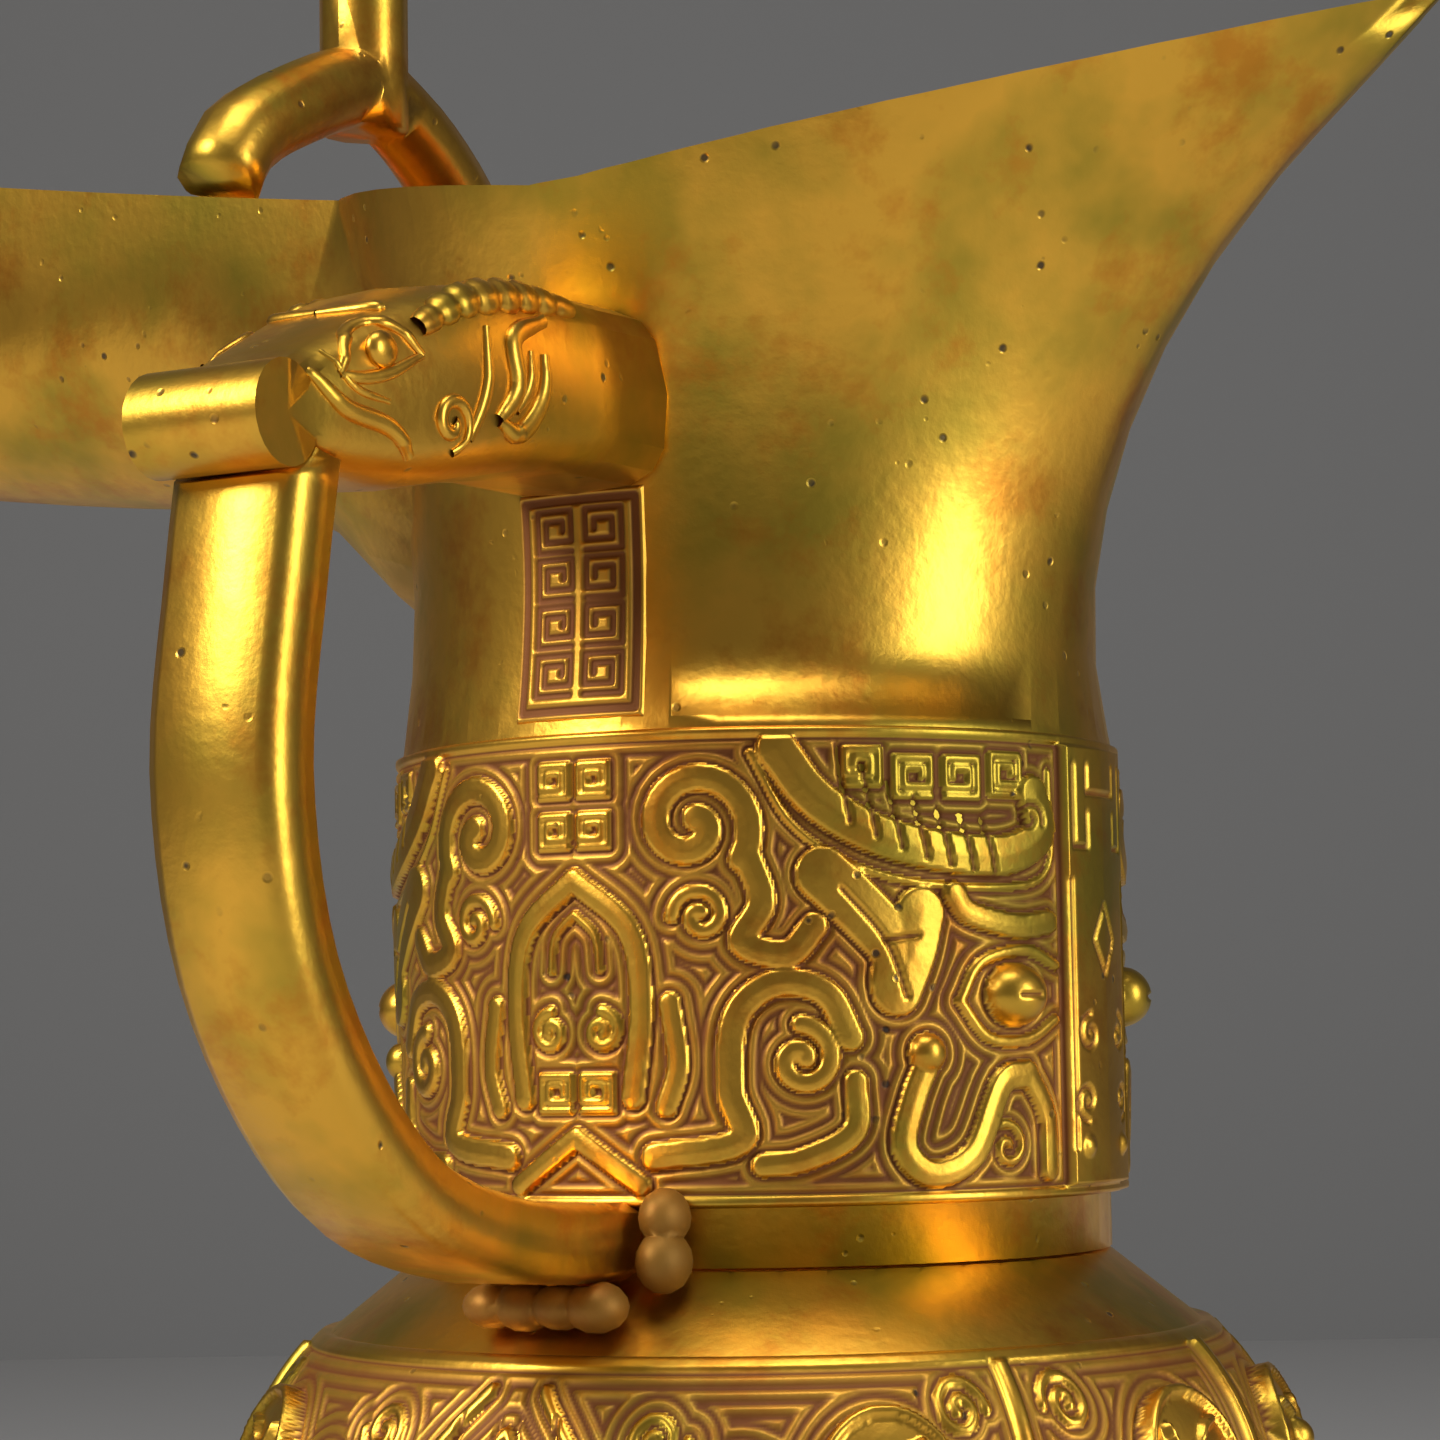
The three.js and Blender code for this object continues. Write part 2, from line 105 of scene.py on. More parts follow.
def square_spiral(x, y, size, half=0.36, flip=1):
    """An angular thunder scroll."""
    s = size / 2
    k = size / 4
    outer = [(-s, -s), (s, -s), (s, s), (-s, s)]
    inner = [(-s, -s + k), (s - k, -s + k), (s - k, s - k), (-s + k, s - k), (-s + k, 0)]
    return (np.array([(x + flip * u, y + v) for u, v in outer + inner]), half, STROKE_RISE)


def ring(x, y, radius, half=0.4, rise=STROKE_RISE):
    a = np.linspace(0, 2 * math.pi, 37)
    return (np.column_stack([x + radius * np.cos(a), y + radius * np.sin(a)]), half, rise)


def rectangle(x0, y0, x1, y1, half=0.45, rise=STROKE_RISE):
    return (np.array([(x0, y0), (x1, y0), (x1, y1), (x0, y1), (x0, y0)]), half, rise)


HALF_BAND = math.pi / 2 * BAND_RADIUS_MM  # from the nose to the plane of the handle
HORN = curve([(33, 37), (29.5, 32.6), (23, 29.4), (13.5, 28.4), (8.6, 30.4), (9.4, 33.6)], 1.7, 0.95)
BAND_STROKES = [
    # border lines
    ([(-1, 0.5), (HALF_BAND + 1, 0.5)], 0.45, 0.4),
    ([(-1, 38.5), (HALF_BAND + 1, 38.5)], 0.45, 0.4),
    # nose plate
    ([(0, 1.6), (0, 37.4)], 5.7, 1.4),
    # horn with its frame
    HORN,
    curve([(35.2, 36.8), (31.4, 30.4), (24, 26.6), (13.2, 25.8), (7.2, 27.6), (7, 35.6)], 0.34, 0.45),
    square_spiral(12.4, 35.2, 3.2),
    square_spiral(17.0, 34.8, 3.2, flip=-1),
    square_spiral(21.6, 34.8, 3.2),
    square_spiral(26.0, 35.6, 2.8, flip=-1),
    # brow, eye frame
    curve([(7.6, 23.0), (11.5, 22.6), (16.5, 23.6), (18.0, 25.2)], 1.05, 0.85),
    curve([(6.6, 19.4), (10.4, 20.6), (15.4, 19.6), (17.6, 16.4)], 0.5, 0.6),
    curve([(6.8, 14.8), (10.4, 13.2), (14.8, 13.4), (17.6, 16.4)], 0.5, 0.6),
    # ear
    curve([(29.4, 26.8), (26, 23.6), (23.4, 20.6), (23.4, 18)], 2.3, 0.8),
    curve([(21.2, 23.6), (22.0, 20.6), (23.4, 17.4)], 2.2, 0.8),
    # jaw and fangs
    curve(
        [(20.8, 11.6), (22.2, 8.4), (23.0, 4.6), (20.6, 2.4), (16.6, 4.0), (13.6, 9.6), (10.6, 10.4)],
        1.15,
        0.85,
    ),
    curve([(10.6, 10.4), (8.4, 7.0), (8.2, 2.4)], 1.0, 0.85),
    spiral(13.0, 4.4, 2.2, 1.3, 20, 1, 0.4),
    # body: large hook scroll, small scroll, lower scroll
    spiral(40.0, 31.0, 5.0, 1.25, 215, -1, 1.15, rise=0.7),
    curve([(35.6, 28.6), (34.4, 24.6), (36.0, 21.4), (32.4, 20.4), (30.2, 22.6)], 1.15, 0.7),
    spiral(39.4, 23.6, 2.4, 1.3, 0, 1, 0.6, rise=0.6),
    curve(
        [(27.4, 13.6), (29.4, 17.2), (33.4, 18.0), (36.6, 15.4), (37.2, 9.6), (36.4, 5.4), (43.4, 4.2)],
        1.15,
        0.75,
    ),
    spiral(31.4, 11.8, 2.9, 1.2, 90, 1, 0.8, rise=0.7),
    curve([(27.0, 10.0), (27.2, 6.0), (31.4, 3.8), (34.6, 3.4)], 1.0, 0.7),
    curve([(42.0, 16.6), (41.4, 11.6), (42.4, 8.2)], 0.9, 0.65),
    # divider in the plane of the handle
    curve([(45.2, 9.0), (44.4, 16.4), (45.4, 22.6), (HALF_BAND, 26.8)], 1.0, 0.7),
    curve([(48.0, 19.4), (48.4, 22.2), (HALF_BAND, 24)], 0.4, 0.5),
    spiral(47.9, 14.4, 1.7, 1.4, 90, 1, 0.5),
    square_spiral(48.3, 9.4, 2.8, flip=-1),
    ([(44.6, 1.9), (HALF_BAND, 5.8)], 0.9, 0.7),
    square_spiral(48.4, 35.0, 2.6),
    square_spiral(48.4, 30.8, 2.6, flip=-1),
]
BAND_CUTS = [
    # nose plate: step, rhombus, curls
    [(4.6, 36.4), (4.6, 29.4), (2.6, 29.4), (2.6, 32.4)],
    [(2.6, 36.4), (2.6, 34.0), (0, 34.0)],
    [(0, 24.6), (1.9, 21.6), (0, 18.6)],
    spiral(2.8, 13.6, 1.7, 1.2, 90, -1)[0],
    spiral(3.4, 8.0, 1.7, 1.2, 270, 1)[0],
    [(5.1, 26.6), (5.1, 4.0)],
    # scales across the horn and its end scroll
    *[
        [(x, 27.0 + 0.02 * (x - 13) ** 2), (x + 1.0, 31.4 + 0.03 * (x - 13) ** 2)]
        for x in np.arange(14, 29, 2.2)
    ],
    spiral(10.0, 31.6, 1.5, 1.2, 200, -1)[0],
    # veins of the ear, slit of the eye
    curve([(28.0, 25.6), (24.4, 21.4), (22.6, 16.8)])[0],
    [(24.4, 21.4), (21.6, 21.8)],
    [(11.0, 16.9), (13.0, 16.9)],
]
BAND_BOSSES = [
    # x, y, half length, half height, rise
    (12.0, 16.9, 3.1, 2.7, 2.8),
    (3.4, 4.2, 1.4, 1.4, 1.7),
    (20.8, 12.2, 1.7, 1.7, 1.5),
]

HALF_BELLY = math.pi / 2 * BELLY_RADIUS_MM
BELLY_HEIGHT_MM = (BELLY_TOP - BELLY_FOOT) / MM
DISC_HEIGHT = BELLY_HEIGHT_MM * 0.86


def whorl(x, y, r):
    """A disc with a rim and four curling arms."""
    arms = [
        curve(
            [(x + r * k * math.cos(a + k), y + r * k * math.sin(a + k)) for k in (0.34, 0.55, 0.76)],
            0.45,
            2.3,
        )
        for a in np.arange(4) * math.pi / 2
    ]
    return [([(x, y), (x + 0.1, y)], r + 0.2, 1.7), ring(x, y, r, 0.5, 2.1), *arms]


BELLY_STROKES = [
    ([(-1, BELLY_HEIGHT_MM - 0.9), (HALF_BELLY + 1, BELLY_HEIGHT_MM - 0.9)], 0.5, 0.5),
    ([(-1, 14.5), (HALF_BELLY + 1, 14.5)], 0.5, 0.5),
    ([(-1, 12.6), (HALF_BELLY + 1, 12.6)], 0.35, 0.4),
    *whorl(11.0, DISC_HEIGHT - 5, 5.4),
    *whorl(39.6, DISC_HEIGHT - 5, 5.4),
    ([(27.5, 15), (27.5, BELLY_HEIGHT_MM - 1)], 0.8, 0.9),
    spiral(22.4, 33.4, 2.4, 1.6, 0, 1, 0.45),
    spiral(32.6, 33.4, 2.4, 1.6, 180, -1, 0.45),
    spiral(22.0, 25.6, 2.8, 1.8, 90, 1, 0.45),
    spiral(33.0, 25.6, 2.8, 1.8, 90, -1, 0.45),
    spiral(22.2, 18.6, 2.2, 1.6, 270, 1, 0.42),
    spiral(32.8, 18.6, 2.2, 1.6, 270, -1, 0.42),
    spiral(50.6, 26.4, 3.1, 2.0, 0, 1, 0.5),
    spiral(57.6, 31.6, 2.6, 1.8, 180, 1, 0.45),
    spiral(57.2, 21.6, 2.6, 1.8, 0, -1, 0.45),
    curve([(63.4, 15.4), (61.6, 22), (63.6, 29.4), (68, 35)], 0.6, 0.7),
    curve([(66.2, 15.4), (65, 21), (66.4, 27), (HALF_BELLY, 32)], 0.5, 0.6),
    square_spiral(5.0, 19.0, 3.4),
    square_spiral(13.6, 18.6, 3.4, flip=-1),
    square_spiral(40.0, 18.4, 3.6),
    ([(0, 15), (0, BELLY_HEIGHT_MM - 1)], 0.9, 1.1),
]
BELLY_CUTS = [[(x, 16), (x + 1.6, 33)] for x in (64.6, 68.2)]
BELLY_BOSSES = [(11.0, DISC_HEIGHT - 5, 1.9, 1.9, 3.0), (39.6, DISC_HEIGHT - 5, 1.9, 1.9, 3.0)]


CUT_HALF = 0.2
CUT_DEPTH = 0.32


def distance(u, v, points):
    """How far each point (u, v) lies from a polyline."""
    reach = np.full(u.shape, 1e3)
    for (ax, ay), (bx, by) in zip(points[:-1], points[1:]):
        dx, dy = bx - ax, by - ay
        t = np.clip(((u - ax) * dx + (v - ay) * dy) / (dx * dx + dy * dy + 1e-12), 0, 1)
        reach = np.minimum(reach, np.hypot(u - ax - t * dx, v - ay - t * dy))
    return reach


def relief(u, v, strokes, bosses, cuts, low, high):
    """Height of the ornament at the points (u, v), and how deep in the ground each point lies."""
    nearest = np.full(u.shape, 1e3)
    raised = np.zeros(u.shape)
    for points, half, rise in strokes:
        edge = distance(u, v, points) - half
        nearest = np.minimum(nearest, edge)
        slope = np.clip(-edge / STROKE_EDGE + 0.5, 0, 1)
        crown = np.clip(-edge / half, 0, 1)
        raised = np.maximum(raised, rise * slope * (0.82 + 0.18 * crown))
    for x, y, rx, ry, rise in bosses:
        q = ((u - x) / rx) ** 2 + ((v - y) / ry) ** 2
        raised = np.maximum(raised, rise * np.sqrt(np.clip(1 - q, 0, 1)))
        nearest = np.minimum(nearest, (np.sqrt(q) - 1) * min(rx, ry))
    ridge = 0.5 - 0.5 * np.cos(2 * math.pi * (nearest - 0.1) / GROUND_PITCH)
    ground = GROUND_DEPTH * ridge**0.8
    inside = (v > low) & (v < high)
    height = np.where(nearest > 0, ground, raised)
    height = np.maximum(height, raised)
    height = np.where(inside, height, np.minimum(raised, 0.4) * (v > low - 1) * (v < high + 1))
    deep = np.where((nearest > 0) & inside, 1 - 0.5 * ridge, 0)
    for points in cuts:
        groove = np.clip(0.5 - (distance(u, v, points) - CUT_HALF) / 0.16, 0, 1)
        height = height - CUT_DEPTH * groove
        deep = np.maximum(deep, 0.9 * groove)
    return height, np.clip(deep, 0, 1)


def belly_radius(t):
    """The belly's radius in millimetres at the share t of its height, as the solid has it."""
    bulge = np.sin(math.pi * np.clip(t, 0, 1) ** 1.25) ** 0.8
    base = BELLY_FLOOR_RADIUS_MM + (SHOULDER_RADIUS_MM - BELLY_FLOOR_RADIUS_MM) * t
    return base + (BELLY_RADIUS_MM - (BELLY_FLOOR_RADIUS_MM + SHOULDER_RADIUS_MM) / 2) * bulge


def new_piece(name, co, faces, recess=None):
    mesh = bpy.data.meshes.new(name)
    mesh.vertices.add(len(co))
    mesh.vertices.foreach_set("co", np.asarray(co, np.float32).ravel())
    faces = np.asarray(faces, np.int32)
    mesh.loops.add(faces.size)
    mesh.loops.foreach_set("vertex_index", faces.ravel())
    mesh.polygons.add(len(faces))
    mesh.polygons.foreach_set("loop_start", np.arange(len(faces), dtype=np.int32) * faces.shape[1])
    mesh.update(calc_edges=True)
    mesh.validate()
    if recess is not None:
        mesh.attributes.new("recess", "FLOAT", "POINT").data.foreach_set("value", recess.ravel())
    mesh.polygons.foreach_set("use_smooth", [True] * len(mesh.polygons))
    piece = bpy.data.objects.new(name, mesh)
    bpy.context.scene.collection.objects.link(piece)
    return piece


def relief_panel(name, centre, across, up, half_mm, height_mm, surface, strokes, bosses, cuts, low, high):
    """Half of a band of ornament, mirrored about the bearing centre, in degrees from +X."""
    share = np.linspace(-1, 1, across)
    v = np.linspace(0, height_mm, up)
    u_grid, v_grid = np.meshgrid(np.abs(share) * half_mm, v)
    h, deep = relief(u_grid, v_grid, strokes, bosses, cuts, low, high)
    sunk = (v_grid < 0.15) | (v_grid > height_mm - 0.15)
    h = np.where(sunk, -0.3, h) + 0.03
    angle = math.radians(centre) + share * math.pi / 2
    radius, z, nr, nz = surface(v)
    r = radius[:, None] + h * nr[:, None]
    co = np.empty((up, across, 3))
    co[..., 0] = AXIS.x + MM * r * np.cos(angle)[None, :]
    co[..., 1] = AXIS.y + MM * r * np.sin(angle)[None, :]
    co[..., 2] = z[:, None] + MM * h * nz[:, None]
    k = np.arange(up - 1)[:, None] * across + np.arange(across - 1)[None, :]
    faces = np.stack([k, k + 1, k + across + 1, k + across], -1).reshape(-1, 4)
    return new_piece(name, co.reshape(-1, 3), faces, deep.astype(np.float32))


CARTOUCHE_WIDTH_MM = 12.4
CARTOUCHE_HEIGHT_MM = 19.4
CARTOUCHE_STROKES = [
    rectangle(-5.4, 0.9, 5.4, CARTOUCHE_HEIGHT_MM - 0.9, 0.4, 0.25),
    *[
        square_spiral(x, y, 3.4, 0.3, 1 if x > 0 else -1)
        for x in (-2.4, 2.4)
        for y in (3.9, 8.0, 12.0, 16.0)
    ],
]


def neck_radius(z):
    """The neck's radius in millimetres at z above the band, as the solid has it."""
    t = z / 45
    waist = 30.6 + 1.2 * np.clip(1 - 3 * t, 0, 1) ** 2
    return waist + 7 * np.clip((t - 0.25) / 0.75, 0, 1) ** 2.2


def cartouche():
    """The framed panel under the handle, with a plain meander in it."""
    u = np.linspace(-CARTOUCHE_WIDTH_MM / 2, CARTOUCHE_WIDTH_MM / 2, 83)
    v = np.linspace(0, CARTOUCHE_HEIGHT_MM, 130)
    u_grid, v_grid = np.meshgrid(u, v)
    reach = np.min([distance(u_grid, v_grid, p) - half for p, half, _ in CARTOUCHE_STROKES], axis=0)
    groove = np.clip(0.5 - reach / 0.2, 0, 1)
    edge = np.minimum(v_grid, CARTOUCHE_HEIGHT_MM - v_grid)
    edge = np.minimum(edge, CARTOUCHE_WIDTH_MM / 2 - np.abs(u_grid))
    h = 0.34 - 0.26 * groove - 0.5 * np.clip(1 - edge / 0.35, 0, 1)
    r = neck_radius(v_grid + 1.0) + h
    a = -math.pi / 2 + u_grid / 31.5
    co = np.empty((len(v), len(u), 3))
    co[..., 0] = AXIS.x + MM * r * np.cos(a)
    co[..., 1] = AXIS.y + MM * r * np.sin(a)
    co[..., 2] = BAND_TOP + MM * (v_grid + 1.0)
    k = np.arange(len(v) - 1)[:, None] * len(u) + np.arange(len(u) - 1)[None, :]
    faces = np.stack([k, k + 1, k + len(u) + 1, k + len(u)], -1).reshape(-1, 4)
    return new_piece("cartouche", co.reshape(-1, 3), faces, (0.45 + 0.55 * groove).astype(np.float32))


def band_surface(v):
    one = np.ones_like(v)
    return BAND_RADIUS_MM * one, BAND_FOOT + v * MM, one, 0 * one


def belly_surface(v):
    t = v / BELLY_HEIGHT_MM
    r = belly_radius(t)
    dr = np.gradient(r, v)
    n = np.hypot(1, dr)
    return r, BELLY_FOOT + v * MM, 1 / n, -dr / n


# Materials
class Sock:
    """A socket, or a number, with arithmetic that adds Math nodes."""

    def __init__(self, tree, out):
        self.tree, self.out = tree, out

    def _math(self, operation, a, b=0.0, clamp=False):
        n = self.tree.nodes.new("ShaderNodeMath")
        n.operation, n.use_clamp = operation, clamp
        for i, x in enumerate((a, b)):
            if isinstance(x, Sock):
                self.tree.links.new(x.out, n.inputs[i])
            else:
                n.inputs[i].default_value = x
        return Sock(self.tree, n.outputs[0])

    def __add__(self, o):
        return self._math("ADD", self, o)

    def __sub__(self, o):
        return self._math("SUBTRACT", self, o)

    def __rsub__(self, o):
        return self._math("SUBTRACT", o, self)

    def __mul__(self, o):
        return self._math("MULTIPLY", self, o)

    __radd__, __rmul__ = __add__, __mul__

    def capped(self):
        return self._math("MINIMUM", self, 1.0)

    def above(self, edge, width):
        """0 below edge, 1 above edge + width."""
        return self._math("MULTIPLY", self - edge, 1 / width, clamp=True)


class Shader:
    def __init__(self, name):
        self.mat = bpy.data.materials.new(name)
        self.mat.use_nodes = True
        self.tree = self.mat.node_tree
        self.bsdf = next(n for n in self.tree.nodes if n.type == "BSDF_PRINCIPLED")

    def node(self, kind, settings=None, out=0, **sockets):
        n = self.tree.nodes.new(kind)
        for k, x in (settings or {}).items():
            setattr(n, k, x)
        for k, x in sockets.items():
            self.put(n.inputs[k.replace("_", " ")], x)
        return Sock(self.tree, n.outputs[out])

    def put(self, socket, x):
        if isinstance(x, Sock):
            self.tree.links.new(x.out, socket)
        else:
            socket.default_value = x

    def mix(self, factor, a, b):
        n = self.tree.nodes.new("ShaderNodeMix")
        n.data_type = "RGBA"
        self.put(n.inputs["Factor"], factor)
        colour = [s for s in n.inputs if s.type == "RGBA"]
        self.put(colour[0], a)
        self.put(colour[1], b)
        return Sock(self.tree, next(s for s in n.outputs if s.type == "RGBA"))

    def noise(self, where, scale, detail=3.0, rough=0.55):
        return self.node("ShaderNodeTexNoise", Vector=where, Scale=scale, Detail=detail, Roughness=rough)


RICH_GOLD = (0.86, 0.46, 0.055, 1)
OLIVE_GOLD = (0.36, 0.28, 0.03, 1)
RUBBED_RED = (0.60, 0.17, 0.015, 1)
RECESS_BROWN = (0.17, 0.040, 0.008, 1)
SOOT = (0.020, 0.014, 0.010, 1)


def gilding(name):
    s = Shader(name)
    where = s.node("ShaderNodeTexCoord", out=3)
    patches = s.noise(where, 55, 4)
    rubbed = s.noise(where, 95, 5, 0.7)
    grain = s.noise(where, 900, 3)
    pits = s.node("ShaderNodeTexVoronoi", Vector=where, Scale=420.0)
    recess = s.node("ShaderNodeAttribute", {"attribute_name": "recess"}, out=2)
    pit = 1 - pits.above(0.10, 0.08)
    pit = pit * s.noise(where, 130, 2).above(0.56, 0.08)
    colour = s.mix(patches.above(0.44, 0.2) * 0.8, RICH_GOLD, OLIVE_GOLD)
    colour = s.mix(rubbed.above(0.52, 0.16) * 0.55, colour, RUBBED_RED)
    dark = recess.above(0.3, 0.65) * 0.92
    colour = s.mix(dark, colour, RECESS_BROWN)
    colour = s.mix(pit * 0.9, colour, SOOT)
    s.put(s.bsdf.inputs["Base Color"], colour)
    s.put(s.bsdf.inputs["Metallic"], 1 - 0.55 * (dark + pit).capped())
    s.put(s.bsdf.inputs["Roughness"], 0.24 + 0.22 * patches + 0.3 * dark)
    height = grain * 0.35 + patches * 0.5 - pit * 1.2
    bump = s.node("ShaderNodeBump", Height=height, Strength=0.35, Distance=0.0003)
    s.put(s.bsdf.inputs["Normal"], bump)
    return s.mat


GOLD = gilding("gilding")


def dress(piece):
    piece.data.materials.clear()
    piece.data.materials.append(GOLD)


BEAD_SOOT = 0.78  # how dark the lumps of braze are, on the scale of the recesses


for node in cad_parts.values():
    copy = bpy.data.meshes.new(node.name + "_skin")
    welded = bmesh.new()
    welded.from_mesh(node.data)
    bmesh.ops.remove_doubles(welded, verts=welded.verts, dist=0.02 * MM)
    welded.to_mesh(copy)
    welded.free()
    skin = bpy.data.objects.new(copy.name, copy)
    bpy.context.scene.collection.objects.link(skin)
    copy.polygons.foreach_set("use_smooth", [True] * len(copy.polygons))
    copy.set_sharp_from_angle(angle=math.radians(36))
    if node.name.startswith("strap_bead"):
        sooted = np.full(len(copy.vertices), BEAD_SOOT, np.float32)
        copy.attributes.new("recess", "FLOAT", "POINT").data.foreach_set("value", sooted)
    dress(skin)
    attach(skin, "root")
    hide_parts(node.name)

# The head's engraving, laid on its sides: distance from the axis and height above the band
head_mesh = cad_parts["handle_head"].data
head_corners = [v.co for v in head_mesh.vertices]
head_surface = BVHTree.FromPolygons(head_corners, [f.vertices for f in head_mesh.polygons])
HEAD_LINES = [
    # points, half width, ribs along it
    (curve([(66.0, 27.4), (60, 30.4), (52, 32.0), (44.5, 32.4)])[0], 1.7, 8),
    (curve([(66, 25.2), (69, 27.4), (72.6, 25.8), (74.6, 22.6)])[0], 0.6, 0),
    (curve([(66, 25.2), (69.4, 23.4), (72.4, 22.6), (74.6, 22.6)])[0], 0.55, 0),
    (curve([(67, 29), (71, 28.2), (75, 25.4)])[0], 0.7, 0),
    (spiral(62.6, 20.6, 2.3, 1.3, 250, -1)[0], 0.6, 0),
    (curve([(60.4, 19.6), (58.6, 23.4), (58.2, 28.6)])[0], 0.6, 0),
    (curve([(56.6, 21.6), (54.4, 24.2), (54.6, 28.2), (50, 30.4)])[0], 1.0, 0),
    (curve([(56.6, 21.6), (53.6, 21.0), (50.6, 24), (50.2, 27.6)])[0], 0.9, 0),
    (curve([(54.2, 22.6), (52.6, 24.6), (52.2, 27.6)])[0], 0.55, 0),
    (curve([(77.6, 22.4), (74.4, 20.2), (69.6, 19.4), (66.6, 17.6)])[0], 0.8, 0),
    (curve([(75.6, 24.2), (73.2, 21.8), (69.6, 21.2)])[0], 0.35, 0),
]
EYE_PLACE = (70.2, 25.0)
EYE_RADIUS_MM = 1.7


def on_head(d, z, side):
    """The point on the head's side at that distance from the axis and height above the band."""
    start = Vector((AXIS.x + side * 30 * MM, AXIS.y - d * MM, BAND_TOP + z * MM))
    return head_surface.ray_cast(start, Vector((-side, 0, 0)))[:2]


def cord_mesh(path, half, ribs):
    """A half-round bead along a path of (place, normal), with ribs along it."""
    rings = []
    around = 10
    for i, (place, normal) in enumerate(path):
        along = (path[min(i + 1, len(path) - 1)][0] - path[max(i - 1, 0)][0]).normalized()
        across = along.cross(normal).normalized()
        t = i / (len(path) - 1)
        width = half * (0.35 + 0.65 * math.sin(math.pi * min(max(t, 0.06), 0.94)) ** 0.5)
        width *= 1 - (0.22 * (0.5 + 0.5 * math.cos(2 * math.pi * ribs * t)) ** 3 if ribs else 0)
        rings.append(
            [
                place + MM * width * (math.cos(a) * across + 0.7 * math.sin(a) * normal)
                for a in np.linspace(0, 2 * math.pi, around, endpoint=False)
            ]
        )
    k = np.arange(len(rings) - 1)[:, None] * around
    i = np.arange(around)[None, :]
    nxt = (i + 1) % around
    faces = np.stack([k + i, k + nxt, k + around + nxt, k + around + i], -1).reshape(-1, 4)
    return np.array([[*q] for ring_points in rings for q in ring_points]), faces


def head_relief():
    places, faces, count = [], [], 0
    for side in (-1, 1):
        for points, half, ribs in HEAD_LINES:
            along = np.linspace(0, len(points) - 1, 60)
            fine = np.column_stack([np.interp(along, range(len(points)), points[:, k]) for k in (0, 1)])
            path = [on_head(d, z, side) for d, z in fine]
            path = [q for q in path if q[0] is not None]
            if len(path) < 4:
                continue
            co, quads = cord_mesh(path, half, ribs)
            places.append(co)
            faces.append(quads + count)
            count += len(co)
        centre, _ = on_head(*EYE_PLACE, side)
        lat, lon = np.meshgrid(np.linspace(0.01, math.pi - 0.01, 13), np.linspace(0, 2 * math.pi, 25))
        ball = np.stack([0.55 * np.cos(lat), np.sin(lat) * np.cos(lon), 0.85 * np.sin(lat) * np.sin(lon)], -1)
        places.append(np.array(centre) + MM * EYE_RADIUS_MM * ball.reshape(-1, 3))
        k = np.arange(24)[:, None] * 13 + np.arange(12)[None, :]
        faces.append(np.stack([k, k + 1, k + 14, k + 13], -1).reshape(-1, 4) + count)
        count += 25 * 13
    return new_piece("head_relief", np.vstack(places), np.vstack(faces))


BAND = (457, 178, HALF_BAND, BAND_HEIGHT_MM, band_surface, BAND_STROKES, BAND_BOSSES, BAND_CUTS, 1.0, 38.0)
BELLY = (541, 146, HALF_BELLY, BELLY_HEIGHT_MM, belly_surface)
BELLY += (BELLY_STROKES, BELLY_BOSSES, BELLY_CUTS, 15.0, 36.6)
PANELS = [
    ("mask_band_tail", 0, *BAND),
    ("mask_band_spout", 180, *BAND),
    ("belly_band_tail", 0, *BELLY),
    ("belly_band_spout", 180, *BELLY),
]
for piece in [*(relief_panel(*panel) for panel in PANELS), cartouche(), head_relief()]:
    dress(piece)
    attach(piece, "root")


# Stage, light and camera
def plain(name, colour, roughness):
    s = Shader(name)
    s.put(s.bsdf.inputs["Base Color"], colour)
    s.put(s.bsdf.inputs["Roughness"], roughness)
    return s.mat


def stage_plane(name, half, matrix, colour):
    mesh = bpy.data.meshes.new(name)
    corners = [(-half, -half, 0), (half, -half, 0), (half, half, 0), (-half, half, 0)]
    mesh.from_pydata(corners, [], [(0, 1, 2, 3)])
    plane = bpy.data.objects.new(name, mesh)
    plane.matrix_world = matrix
    plane.data.materials.append(plain(name, colour, 0.9))
    bpy.context.scene.collection.objects.link(plane)


CAMERA_BEARING = 28  # degrees from -Y towards +X
CAMERA_DISTANCE = 326.4 * MM
CAMERA_BELOW_BAND = 26.75 * MM
CAMERA_YAW, CAMERA_PITCH, CAMERA_ROLL = 0.565, 5.285, -0.929
SENSOR, LENS = 36, 90.75

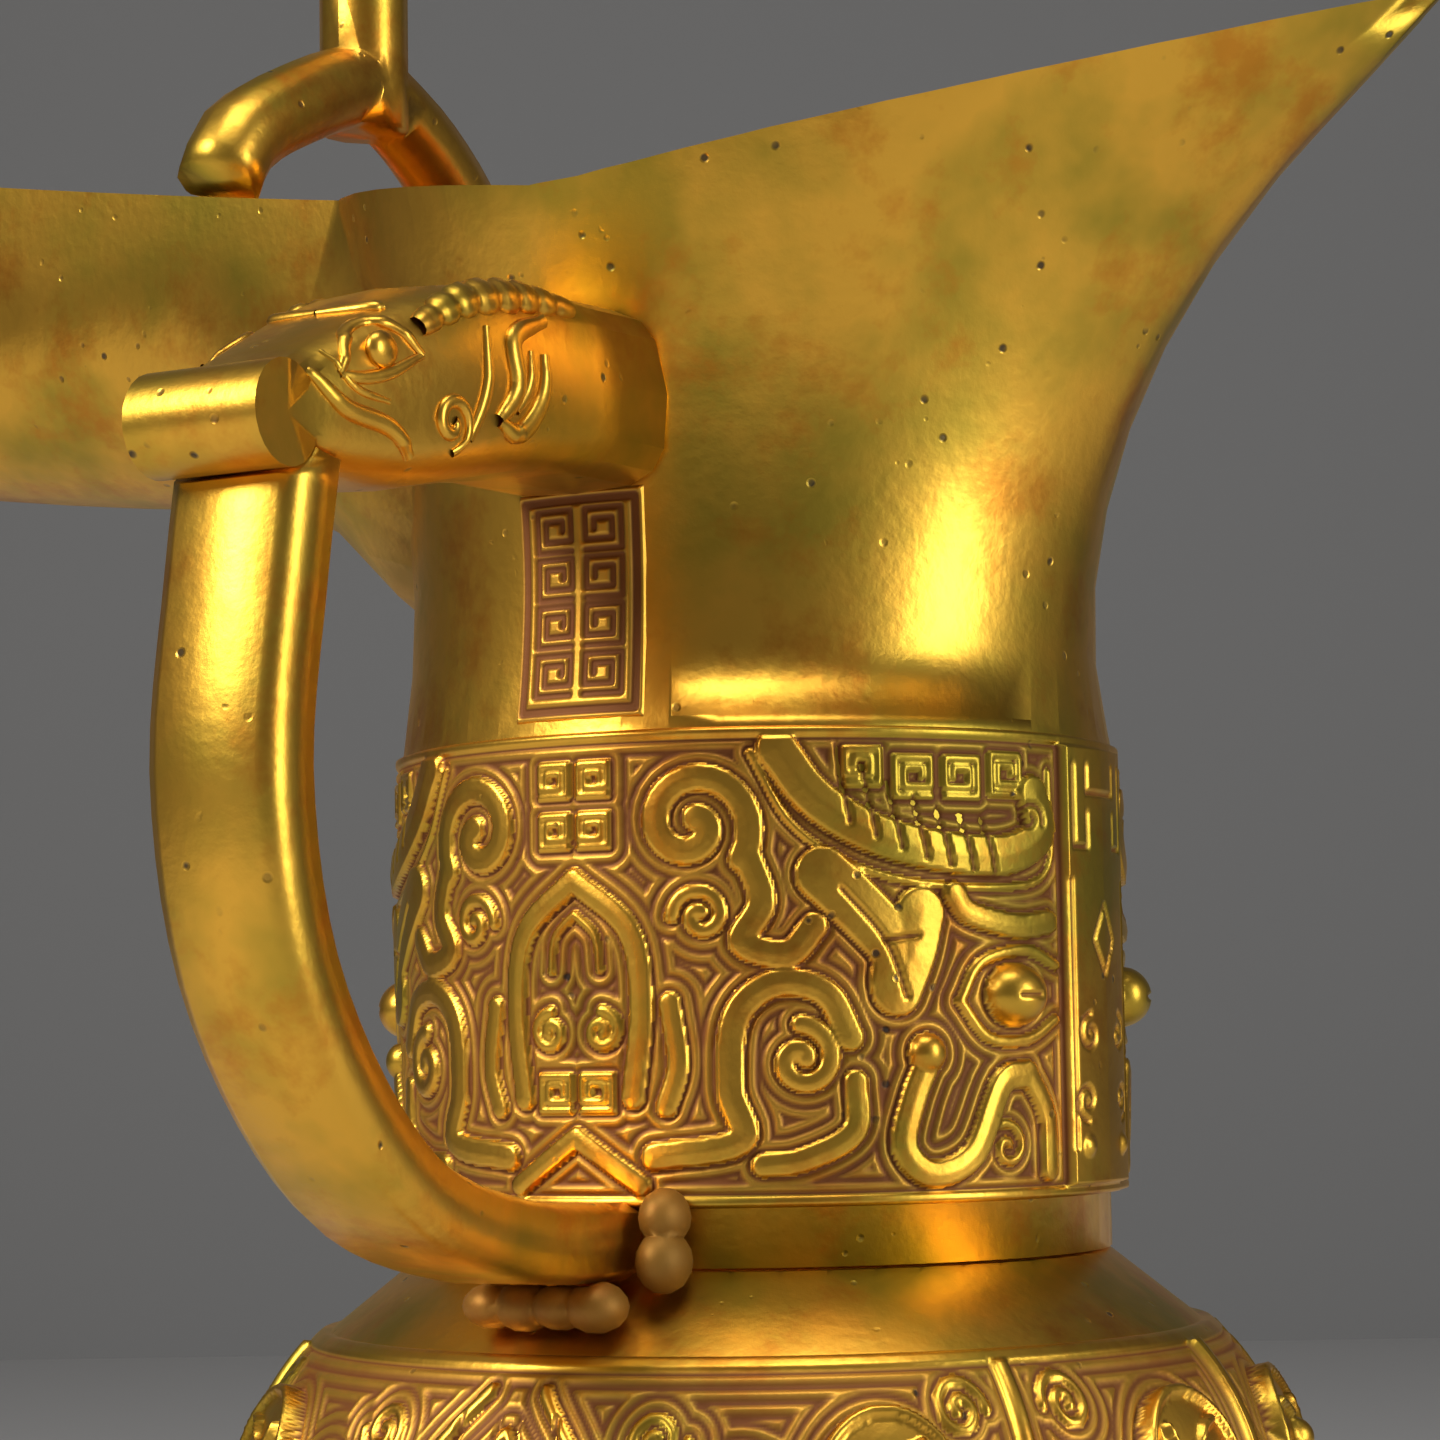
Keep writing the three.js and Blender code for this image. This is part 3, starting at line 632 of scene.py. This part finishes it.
bearing = math.radians(CAMERA_BEARING)
toward = Vector((math.sin(bearing), -math.cos(bearing), 0))
stage_plane("floor", 3.0, Matrix.Identity(4), (0.55, 0.54, 0.53, 1))
behind = Matrix.Translation(AXIS - toward * 1.4) @ Matrix.Rotation(bearing, 4, "Z")
stage_plane("backdrop", 3.0, behind @ Matrix.Rotation(math.pi / 2, 4, "X"), (0.3, 0.296, 0.293, 1))


def softbox(name, bearing_deg, height, distance, size, power, tint=(1, 1, 1)):
    light = bpy.data.lights.new(name, "AREA")
    light.shape, light.size, light.size_y = "RECTANGLE", size[0], size[1]
    light.energy, light.color = power, tint
    lamp = bpy.data.objects.new(name, light)
    a = math.radians(bearing_deg)
    target = AXIS + Vector((0, 0, 0.15))
    lamp.location = AXIS + Vector((math.sin(a), -math.cos(a), 0)) * distance + Vector((0, 0, height))
    lamp.rotation_euler = (target - lamp.location).to_track_quat("-Z", "Y").to_euler()
    bpy.context.scene.collection.objects.link(lamp)


softbox("key", CAMERA_BEARING - 55, 0.75, 0.85, (0.3, 0.5), 9, (1, 0.98, 0.95))
softbox("fill", CAMERA_BEARING + 62, 0.35, 0.9, (0.2, 0.6), 3.5, (0.95, 0.98, 1))
softbox("top", CAMERA_BEARING + 10, 1.1, 0.25, (0.6, 0.3), 3.5)

scene = bpy.context.scene
world = scene.world or bpy.data.worlds.new("studio")
scene.world = world
world.use_nodes = True
background = next(n for n in world.node_tree.nodes if n.type == "BACKGROUND")
background.inputs["Color"].default_value = (0.2, 0.2, 0.205, 1)
background.inputs["Strength"].default_value = 0.6
scene.view_settings.view_transform = "Standard"

camera = bpy.data.objects.new("camera", bpy.data.cameras.new("camera"))
camera.data.lens, camera.data.sensor_width = LENS, SENSOR
camera.data.clip_start = 0.01
place = Matrix.Translation(AXIS + toward * CAMERA_DISTANCE + Vector((0, 0, BAND_TOP - CAMERA_BELOW_BAND)))
turn = Matrix.Rotation(math.radians(CAMERA_BEARING + CAMERA_YAW), 4, "Z")
tilt = Matrix.Rotation(math.radians(90 + CAMERA_PITCH), 4, "X")
camera.matrix_world = place @ turn @ tilt @ Matrix.Rotation(math.radians(CAMERA_ROLL), 4, "Z")
scene.collection.objects.link(camera)
scene.camera = camera
